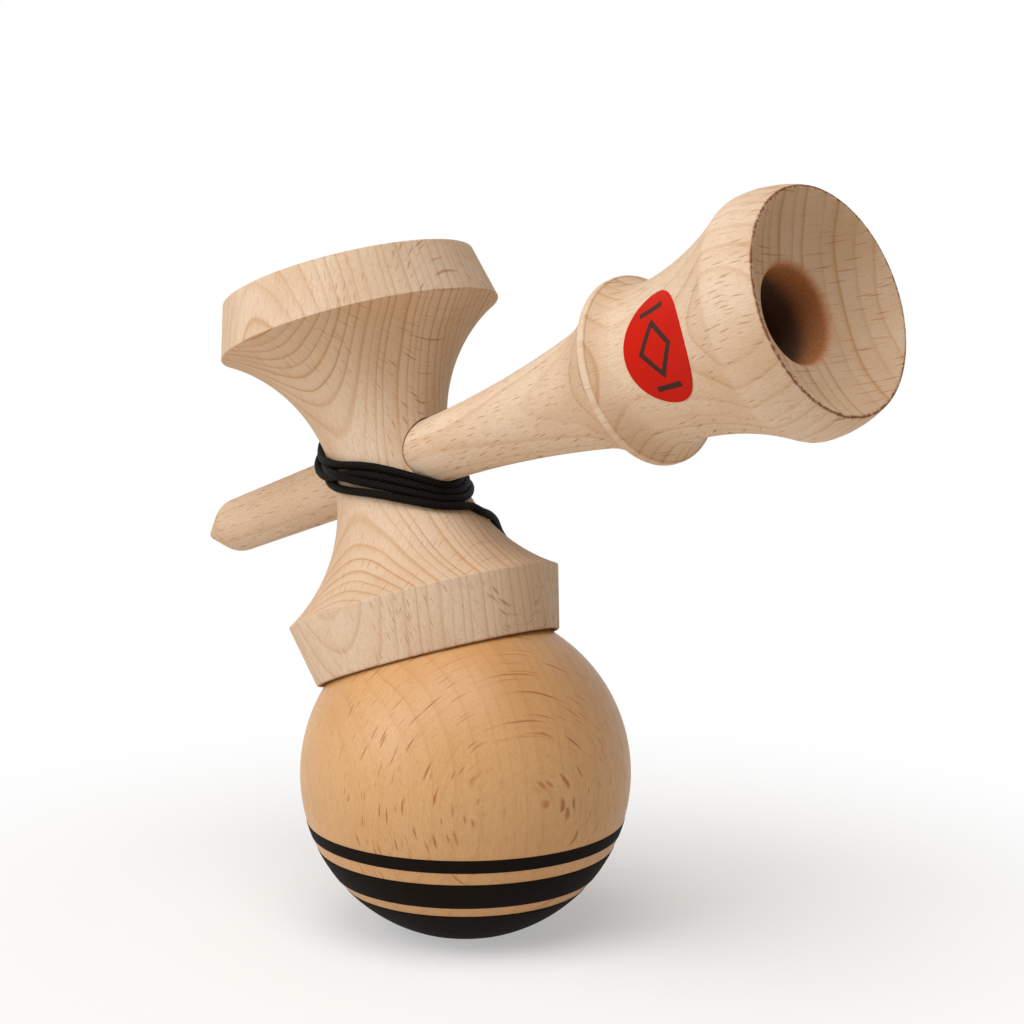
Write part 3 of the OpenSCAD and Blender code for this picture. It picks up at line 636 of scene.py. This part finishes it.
on_handle = on_cross_piece @ Matrix.Translation((0, 0, -HANDLE_DROP * MM)) @ Matrix.Rotation(pi / 2, 4, "Y")
hole_l = 2 * NECK_R
hole_x = np.linspace(-hole_l, hole_l, 48)
hole_gap = TAPER_GAP + HOLE_EASE * np.clip((np.abs(hole_x) - EASE_FROM) / (EASE_TO - EASE_FROM), 0, 1)
handle_hole = [(0, -hole_l), *((shaft(x) + gap, x) for x, gap in zip(hole_x, hole_gap)), (0, hole_l)]
knot_start = SHAFT_R + TAPER_GAP
pocket_end = knot_start + KNOT_L + POCKET_ROOM
string_hole = [(0, 0), (POCKET_R, 0), (POCKET_R, pocket_end), (ANCHOR_HOLE_R, pocket_end),
               (ANCHOR_HOLE_R, hole_l), (0, hole_l)]
on_string_hole = on_cross_piece @ Matrix.Translation((0, 0, ANCHOR_H * MM)) @ Matrix.Rotation(-pi / 2, 4, "X")
for outline, place in ((handle_hole, on_handle), (string_hole, on_string_hole)):
    cutter = turned("drill", outline, cup_beech, steps=96, place=place)
    cut = cross_piece.modifiers.new("Drill", "BOOLEAN")
    cut.operation, cut.solver, cut.object = "DIFFERENCE", "EXACT", cutter
    cross_piece.data = evaluated_mesh(cross_piece)
    bpy.data.objects.remove(cutter)
tidy_faces(cross_piece.data)
mark_end_grain(cross_piece, cup_way)
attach(cross_piece, "cross_piece")
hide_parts("cross_piece")

# THE WOUND STRING
# Black braided string, knotted inside the neck. It is wound round the neck under the shaft and over the
# spike, and its tail drops from the back of the small cup, loops on the ball and goes in under the rim.
WIND_STEP, WIND_SPREAD, WIND_TURNS = 1.5, -0.3, 3.79
WIND_MID, WIND_SWING, WIND_PULL, WIND_SOFTEN, SLOPE_STEP = 1.2, 7.6, 3.6, 0.4, 0.02
QUICK_WANDER, SLOW_WANDER = (0.4, 2.3, 0.7), (0.25, 0.61, 2.0)
CROSSINGS = [
    (1, 222, 0.45, 1.3, 1.5), (2, 262, 0.4, -1.3, 1.5), (3, 180, 0.6, 0, 1.35), (3, 250, 0.5, 0.25, 0),
]
WIND_POINTS, WIND_ROUNDS, WIND_GAP, WIND_REACH, SHAFT_CLEAR = 300, 160, 0.05, 24, 0.08
TOUCH, PUSH, STRAIGHTEN, NEXT_TURN = 2.04 * STRING_R, 0.25, 0.05, 24
ANCHOR_LIP, ANCHOR_DEPTH = 0.15, 2.6
ANCHOR_FACE = flare_centre - sqrt(FLARE_R**2 - ANCHOR_H**2) + ANCHOR_LIP
EXIT_BEND, EXIT_FADE, EXIT_HELD = 3.2, 0.35, 4
TAIL_ROUTE = [
    (22, 15, -13), (30, 15.26, -13.4), (38, 15.55, -13.9), (46, 15.9, -14.5), (54, 16.35, -15.2),
    (62, 17.2, -16.4), (69, 19.2, -18.8), (77, 23.5, -22.8), (80, 25.2, -23.8), (82.5, 26.2, -25),
    (84.5, 26.6, -26.9), (86.5, 26.6, -29.5), (89, 26.4, -32.5), (91.5, 26.1, -35.5), (94.5, 25.8, -38.5),
    (97.5, 25.8, -41), (101, 26.4, -42.9), (105.5, 26.9, -43.7), (110, 26.8, -43.5), (113.8, 26.1, -42.4),
    (115.8, 25.1, -40.8), (115.8, 23.9, -39.2),
]


def round_neck(angle, r, h):
    return np.array((r * cos(radians(angle)), r * sin(radians(angle)), h))


def lie_at(h):
    return flare_centre - np.sqrt((FLARE_R - STRING_R - WIND_GAP) ** 2 - np.asarray(h) ** 2)


def wind_wave(angle):
    side = np.sqrt(np.sin(angle) ** 2 + WIND_SOFTEN**2) - WIND_SOFTEN
    return (2 * WIND_PULL * side - WIND_SWING) * np.cos(angle)


def wind_slope(angle):
    rise = wind_wave(angle + SLOPE_STEP) - wind_wave(angle - SLOPE_STEP)
    return rise / (2 * SLOPE_STEP) / (NECK_R + LIE)


def wander(angle, swing, pace, start):
    return swing * np.sin(pace * angle + start)


out_of_hole = np.array((-1, 0, wind_slope(pi / 2)))
out_of_hole /= np.linalg.norm(out_of_hole)
exit_arc = [np.array((0, ANCHOR_FACE + 2 * STRING_R + EXIT_BEND * sin(a), ANCHOR_H))
            + EXIT_BEND * (1 - cos(a)) * out_of_hole for a in np.linspace(0, pi / 2, 6)]


def lay_winding():
    """The turns lie on the neck, wander a little, and are pushed apart until they only touch.
    A crossing is the turn, the angle and reach where it strays, how far it dips and how far it rides over."""
    first_x, first_y, first_h = exit_arc[-1]
    first_u = (atan2(first_y, first_x) - pi / 2) / (2 * pi)
    u = np.linspace(first_u, WIND_TURNS, WIND_POINTS)
    angle = pi / 2 + 2 * pi * u
    step = WIND_STEP * (1 + WIND_SPREAD * (1 - np.cos(angle)) / 2) * np.sqrt(1 + wind_slope(angle) ** 2)
    h = WIND_MID + wind_wave(angle) - step * u
    h += wander(angle, *QUICK_WANDER) * np.minimum(1, u) + wander(angle, *SLOW_WANDER)
    ride = np.zeros(WIND_POINTS)
    for turn, at, reach, dip, over in CROSSINGS:
        near = np.exp(-((angle - 2 * pi * turn - radians(at)) / reach) ** 2)
        h -= dip * near
        ride += over * near
    settled = np.clip((u - first_u) / EXIT_FADE, 0, 1)
    loose = 1 - settled**2 * (3 - 2 * settled)
    h += (first_h - h[0]) * loose
    r = lie_at(h) + ride
    r += (hypot(first_x, first_y) - r[0]) * loose
    p = np.stack([r * np.cos(angle), r * np.sin(angle), h], axis=1)
    held = p[:EXIT_HELD].copy()
    apart = np.abs(np.arange(WIND_POINTS)[:, None] - np.arange(WIND_POINTS)[None]) > NEXT_TURN
    beside = np.array([shaft(x) for x in p[:, 0]]) + STRING_R + SHAFT_CLEAR
    for _ in range(WIND_ROUNDS):
        gap = p[:, None] - p[None]
        far = np.linalg.norm(gap, axis=2) + 1e-9
        press = np.where(apart & (far < TOUCH), (TOUCH - far) / far, 0)
        p += PUSH * (gap * press[:, :, None]).sum(1)
        p[1:-1] += STRAIGHTEN * (p[:-2] + p[2:] - 2 * p[1:-1])
        from_shaft = np.hypot(p[:, 1], p[:, 2] + HANDLE_DROP)
        push = np.maximum(1, beside / from_shaft)
        p[:, 1] *= push
        p[:, 2] = (p[:, 2] + HANDLE_DROP) * push - HANDLE_DROP
        least = lie_at(np.clip(p[:, 2], -WIND_REACH, WIND_REACH))
        p[:, :2] *= np.maximum(1, least / np.hypot(p[:, 0], p[:, 1]))[:, None]
        p[:EXIT_HELD] = held
    return p


in_hole = [(0, ANCHOR_FACE - ANCHOR_DEPTH, ANCHOR_H), (0, ANCHOR_FACE, ANCHOR_H)]
local_route = [*in_hole, *exit_arc, *lay_winding()[2::2], *(round_neck(*q) for q in TAIL_ROUTE)]
route = [np.array(neck_middle + tilted @ Vector(q)) for q in local_route]
string_path = smooth_route([*route, pinch - PINCH_L * pinch_heading, pinch])
string_radii = np.full(len(string_path), STRING_R)
string_radii[-PINCH_FREE:] = np.linspace(STRING_R, PINCH_TUBE, PINCH_FREE)
string = string_tube("string.wound", string_path, string_radii)
anchor_place = neck_middle + tilted @ Vector((0, knot_start + KNOT_L / 2, ANCHOR_H))
knot_on_side = knot_path() @ np.array(((1, 0, 0), (0, 0, 1), (0, 1, 0))) @ np.array(tilted).T
anchor_knot = string_tube("string.anchor_knot", knot_on_side + np.array(anchor_place), [KNOT_TUBE] * KNOT_STEPS)
for piece in (string, anchor_knot):
    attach(piece, "cross_piece")
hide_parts("string_winding", "string_tail", "string_anchor")
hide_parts("anchor_knot")

# THE HANDLE
# One turned piece of pale beech with the grain along it: a blunt spike, a shaft that thickens to a collar,
# and a base cup with a dish and a bored hole. It is held in the cross-piece by its taper alone.
COLLAR_X, COLLAR_W, COLLAR_R, COLLAR_EDGE = 63.2, 1.7, 16.5, 0.4
COLLAR_HOLLOW_L, WAIST_HOLLOW_L = 11.2, 4.6
WAIST_R, WAIST_X, WAIST_CURVE_R = 13.65, 65.2, 62.5
BULGE_R, BULGE_X, BULGE_CURVE_R, BULGE_BLEND = 20.97, 95.7, 19.75, 0.4
BASE_RIM_X, BASE_RIM_T, BASE_DISH_R, RIM_BREAK, MOUTH_BREAK = 103.6, 0.55, 25.0, 0.1, 0.06
BORE_R, BORE_DEPTH, BORE_ROUND, DRILL_POINT, SCORCH_AND_SHADE = 8.2, 24.0, 2.0, 0.3, 0.85
collar_end = COLLAR_X + COLLAR_W


def collar_back(x):
    rise = COLLAR_R - COLLAR_EDGE - shaft(COLLAR_X)
    return shaft(x) + rise * max(0, 1 - (COLLAR_X - x) / COLLAR_HOLLOW_L) ** 2


def base_cup(x):
    waist = hollow(x, WAIST_R, WAIST_CURVE_R, WAIST_X)
    rise = COLLAR_R - COLLAR_EDGE - hollow(collar_end, WAIST_R, WAIST_CURVE_R, WAIST_X)
    waist += rise * max(0, 1 - (x - collar_end) / WAIST_HOLLOW_L) ** 2
    crown = BULGE_R - BULGE_CURVE_R + sqrt(BULGE_CURVE_R**2 - max(0, x - BULGE_X) ** 2)
    near = max(BULGE_BLEND - abs(waist - crown), 0) / BULGE_BLEND
    return min(waist, crown) - near**2 * BULGE_BLEND / 4


mouth = base_cup(BASE_RIM_X) - BASE_RIM_T
dish_x = BASE_RIM_X + sqrt(BASE_DISH_R**2 - mouth**2)
dish_turn = degrees(asin((mouth - MOUTH_BREAK) / BASE_DISH_R))
bore_edge = BORE_R + BORE_ROUND
bore_x = dish_x - sqrt((BASE_DISH_R + BORE_ROUND) ** 2 - bore_edge**2)
bore_end = bore_x - BORE_DEPTH
bore_turn = degrees(asin(bore_edge / (BASE_DISH_R + BORE_ROUND)))
handle_outline = (
    arc((0, TIP_ROUND - SPIKE_L), TIP_ROUND, -90, -degrees(SPIKE_ANGLE), 8)
    + arc((SPIKE_R - SPIKE_SHOULDER, shaft_start), SPIKE_SHOULDER, -degrees(SPIKE_ANGLE), 0, 10)
    + [(shaft(x), x) for x in np.linspace(shaft_start, COLLAR_X - COLLAR_HOLLOW_L, 60)[1:-1]]
    + [(collar_back(x), x) for x in np.linspace(COLLAR_X - COLLAR_HOLLOW_L, COLLAR_X, 24)]
    + arc((COLLAR_R - COLLAR_EDGE, COLLAR_X + COLLAR_EDGE), COLLAR_EDGE, -75, 0, 5)
    + arc((COLLAR_R - COLLAR_EDGE, collar_end - COLLAR_EDGE), COLLAR_EDGE, 0, 75, 5)
    + [(base_cup(x), x) for x in np.linspace(collar_end, BASE_RIM_X - 1.5 * RIM_BREAK, 70)]
    + [(base_cup(BASE_RIM_X) - RIM_BREAK, BASE_RIM_X), (mouth + MOUTH_BREAK, BASE_RIM_X)]
    + arc((0, dish_x), BASE_DISH_R, dish_turn - 90, bore_turn - 90, 30)
    + arc((bore_edge, bore_x), BORE_ROUND, bore_turn + 90, 180, 8)[1:]
    + [(BORE_R, x) for x in np.linspace(bore_x, bore_end, 20)[1:]] + [(0, bore_end - DRILL_POINT * BORE_R)]
)
handle_middle = neck_middle - HANDLE_DROP * cup_way
handle_beech, handle_place, handle_wood, handle_shader = wood_finish(
    "Pale beech of the handle", out=side_way, along=cup_way, grain=handle_way, origin=handle_middle,
    colours=PALE,
    settings={"Pith Distance": 45.0, "Ring Width": 2.9, "Ring Strength": 0.7, "Ray Size": 1.15,
              "Fleck Strength": 0.65, "Fibre Strength": 0.22},
    gloss=SANDED,
)


def darken_end(tree):
    """The base cup's rim is burnished brown by the lathe tool, and its bored hole is stained brown, with
    painted shade that darkens the hole further down.
    """
    at = xyz(tree, handle_place)
    out = vector_length(tree, node(tree, "ShaderNodeCombineXYZ", {"X": at["X"], "Y": at["Y"]}).outputs[0])
    ragged = noise(tree, handle_place, 1.6)
    uneven = calc(tree, "MULTIPLY_ADD", ragged, 0.5, -0.25)
    rim = calc(tree, "MULTIPLY",
               eased(tree, calc(tree, "ADD", at["Z"], uneven), BASE_RIM_X - 0.25, BASE_RIM_X),
               eased(tree, calc(tree, "MULTIPLY_ADD", ragged, 1.4, out), mouth + 0.8, mouth + 1.05))
    within = calc(tree, "MULTIPLY", eased(tree, at["Z"], bore_x + 2.2, bore_x + 0.4),
                  eased(tree, at["Z"], bore_end - 6.0, bore_end - 5.0))
    bore = calc(tree, "MULTIPLY",
                eased(tree, calc(tree, "ADD", out, uneven), BORE_R + 1.9, BORE_R + 0.4), within)
    # painted shade: the bore's wall grows darker the deeper it goes into the hole, where the hole's shadow
    # falls
    down = calc(tree, "MULTIPLY_ADD", uneven, 2.0, at["Z"])
    painted_bore_shade = calc(tree, "MULTIPLY", bore, eased(tree, down, bore_x - 2.0, bore_x - 6.5))
    torn = eased(tree, noise(tree, handle_place, 2.2, 3.0), 0.5, 0.7, 0.0, 0.45)
    # the bore's brown stain with torn patches, turning to painted shade further down the hole
    bore_stain_and_painted_shade = mixed(tree, torn, mixed(tree, painted_bore_shade, rgb(190, 118, 60), rgb(66, 22, 4)), rgb(96, 48, 20))
    tone = mixed(tree, calc(tree, "MULTIPLY", rim, SCORCH_AND_SHADE), handle_wood["Color"], rgb(124, 64, 30))
    tone = mixed(tree, calc(tree, "MULTIPLY", bore, SCORCH_AND_SHADE), tone, bore_stain_and_painted_shade)
    tree.links.new(tone, handle_shader.inputs["Base Color"])


darken_end(handle_beech.node_tree)
handle = turned("handle.wood", handle_outline, handle_beech, place=on_handle)
mark_end_grain(handle, handle_way)
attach(handle, "handle")
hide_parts("handle")

# THE LABEL
# An oval of printed red film, stuck on the base cup's waist. It carries a plain device of a lozenge
# between two short bars.
LABEL_X, LABEL_L, LABEL_W, LABEL_T, LABEL_SINK = 79.0, 15.6, 19.2, 0.15, 0.05
LABEL_RINGS, LABEL_SPOKES, LABEL_FLAT = 26, 120, 0.985
LOZENGE, LOZENGE_WINDOW, LOZENGE_SLANT = 4.3, 3.0, 0.85
BAR_AT, BAR_HALF_L, BAR_HALF_W, INK_EDGE = 6.5, 3.0, 0.5, 0.05


def label_finish():
    finish, tree = new_finish("Red label")
    uv = xyz(tree, node(tree, "ShaderNodeUVMap", uv_map="print").outputs[0])
    long, wide = (calc(tree, "ABSOLUTE", uv[axis]) for axis in ("X", "Y"))

    def inked(value, edge):
        return ranged(tree, value, edge - INK_EDGE, edge + INK_EDGE, 1.0, 0.0)

    slant = calc(tree, "ADD", long, calc(tree, "MULTIPLY", wide, LOZENGE_SLANT))
    lozenge = calc(tree, "SUBTRACT", inked(slant, LOZENGE), inked(slant, LOZENGE_WINDOW))
    off_bar = calc(tree, "ABSOLUTE", calc(tree, "SUBTRACT", wide, BAR_AT))
    bar = calc(tree, "MULTIPLY", inked(long, BAR_HALF_L), inked(off_bar, BAR_HALF_W))
    ink = calc(tree, "MULTIPLY", calc(tree, "MAXIMUM", lozenge, bar), 0.96)
    mottle = noise(tree, object_place(tree), 260.0, 3.0)
    red = mixed(tree, mottle, rgb(188, 22, 8), rgb(200, 32, 14))
    shaded(tree, {
        "Base Color": mixed(tree, ink, red, rgb(52, 40, 36)),
        "Roughness": ranged(tree, mottle, 0.0, 1.0, 0.42, 0.56),
        "Normal": bumped(tree, mottle, 0.08, 0.0001),
        "Specular IOR Level": 0.06,
    })
    return finish


def oval_label():
    """An oval sheet wrapped on the waist, with a rolled-down edge, and its print in millimetres on its UV."""
    middle_r = base_cup(LABEL_X)
    points, prints = [], []

    def lay(share, angle, lift):
        along, around = share * LABEL_L / 2 * cos(angle), share * LABEL_W / 2 * sin(angle)
        turn = around / middle_r
        r = base_cup(LABEL_X + along) + lift
        points.append((r * sin(turn), -r * cos(turn), LABEL_X + along))
        prints.append((along, around))

    edge = [(LABEL_FLAT, LABEL_T), (1.0, 0.7 * LABEL_T), (1.0, -0.03), (LABEL_FLAT, -LABEL_SINK)]
    rings = [(i / LABEL_RINGS, LABEL_T) for i in range(1, LABEL_RINGS)] + edge
    lay(0, 0, LABEL_T)
    for share, lift in rings:
        for s in range(LABEL_SPOKES):
            lay(share, 2 * pi * s / LABEL_SPOKES, lift)
    lay(0, 0, -LABEL_SINK)
    back, last = 1 + (len(rings) - 1) * LABEL_SPOKES, len(points) - 1
    beside = [(s, (s + 1) % LABEL_SPOKES) for s in range(LABEL_SPOKES)]
    faces = [(0, 1 + s, 1 + t) for s, t in beside]
    for first in range(1, back, LABEL_SPOKES):
        after = first + LABEL_SPOKES
        faces += [(first + s, after + s, after + t, first + t) for s, t in beside]
    faces += [(last, back + t, back + s) for s, t in beside]
    mesh = bpy.data.meshes.new("label.film")
    mesh.from_pydata([tuple(MM * c for c in p) for p in points], [], faces)
    uv = mesh.uv_layers.new(name="print")
    for loop in mesh.loops:
        uv.data[loop.index].uv = prints[loop.vertex_index]
    mesh.polygons.foreach_set("use_smooth", [True] * len(mesh.polygons))
    mesh.transform(on_handle)
    tidy_faces(mesh, 50)
    mesh.materials.append(label_finish())
    return added("label.film", mesh)


label = oval_label()
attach(label, "handle")
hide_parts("label")

# THE TABLE, THE LIGHTS AND THE CAMERA
# A white table that keeps the toy's shadow, a large soft lamp from the upper left and one from above,
# and a long lens a little above the toy's middle.
LAMPS = {
    "soft box": {"toward": (-0.33, -0.91, 0.60), "away": 1.2, "size": 1.0, "power": 7.9},
    "top light": {"toward": (0.2, -0.35, 1.0), "away": 1.1, "size": 0.9, "power": 7.0},
}
WHITE = (1, 1, 1, 1)
TABLE_HALF = 4


def looked_at(tree):
    """The kinds of ray, and whether one of them comes from the eye, straight or off a gloss."""
    rays = node(tree, "ShaderNodeLightPath").outputs
    mirrored = calc(tree, "MAXIMUM", rays["Is Glossy Ray"], rays["Is Transmission Ray"])
    return rays, calc(tree, "MAXIMUM", rays["Is Camera Ray"], mirrored)


floor_mesh = bpy.data.meshes.new("table")
corners = [(x * TABLE_HALF, y * TABLE_HALF, 0) for x, y in ((-1, -1), (1, -1), (1, 1), (-1, 1))]
floor_mesh.from_pydata(corners, [], [(0, 1, 2, 3)])
table = added("table", floor_mesh)
table_white, tree = new_finish("White table")
rays, watched = looked_at(tree)
far = eased(tree, vector_length(tree, object_place(tree)), 0.02, 0.17, 0.4, 1.0)
paper = node(tree, "ShaderNodeBsdfDiffuse", {"Color": (0.92, 0.87, 0.8, 1)}).outputs[0]
lit_paper = node(tree, "ShaderNodeBsdfDiffuse", {"Color": (0.95, 0.95, 0.95, 1)}).outputs[0]
paper = node(tree, "ShaderNodeMixShader", {0: rays["Is Camera Ray"], 1: paper, 2: lit_paper}).outputs[0]
white = node(tree, "ShaderNodeEmission", {"Color": WHITE, "Strength": 1.0}).outputs[0]
blank = calc(tree, "MULTIPLY", far, watched)
shown = node(tree, "ShaderNodeMixShader", {0: blank, 1: paper, 2: white}).outputs[0]
node(tree, "ShaderNodeOutputMaterial", {"Surface": shown})
floor_mesh.materials.append(table_white)

world = bpy.data.worlds.new("White room")
bpy.context.scene.world = world
world.use_nodes = True
tree = world.node_tree
tree.nodes.clear()
_, watched = looked_at(tree)
room = node(tree, "ShaderNodeBackground", {"Color": (1, 0.86, 0.71, 1), "Strength": 0.22}).outputs[0]
backdrop = node(tree, "ShaderNodeBackground", {"Color": WHITE, "Strength": 1.0}).outputs[0]
both = node(tree, "ShaderNodeMixShader", {0: watched, 1: room, 2: backdrop}).outputs[0]
node(tree, "ShaderNodeOutputWorld", {"Surface": both})

aim = Vector((0.0, 0.0, 0.075))
for name, given in LAMPS.items():
    lamp = bpy.data.lights.new(name, "AREA")
    lamp.shape, lamp.size, lamp.energy = "DISK", given["size"], given["power"]
    holder = added(name, lamp)
    holder.location = aim + Vector(given["toward"]).normalized() * given["away"]
    holder.rotation_euler = (aim - holder.location).to_track_quat("-Z", "Y").to_euler()

camera = added("camera", bpy.data.cameras.new("camera"))
camera.data.sensor_width = 36.0
camera.data.lens = 94.88
camera.location = (0.32367, -0.34928, 0.15438)
camera.rotation_euler = Vector((-0.6578, 0.7355, -0.16215)).to_track_quat("-Z", "Y").to_euler()
bpy.context.scene.camera = camera
bpy.context.scene.view_settings.view_transform = "Standard"
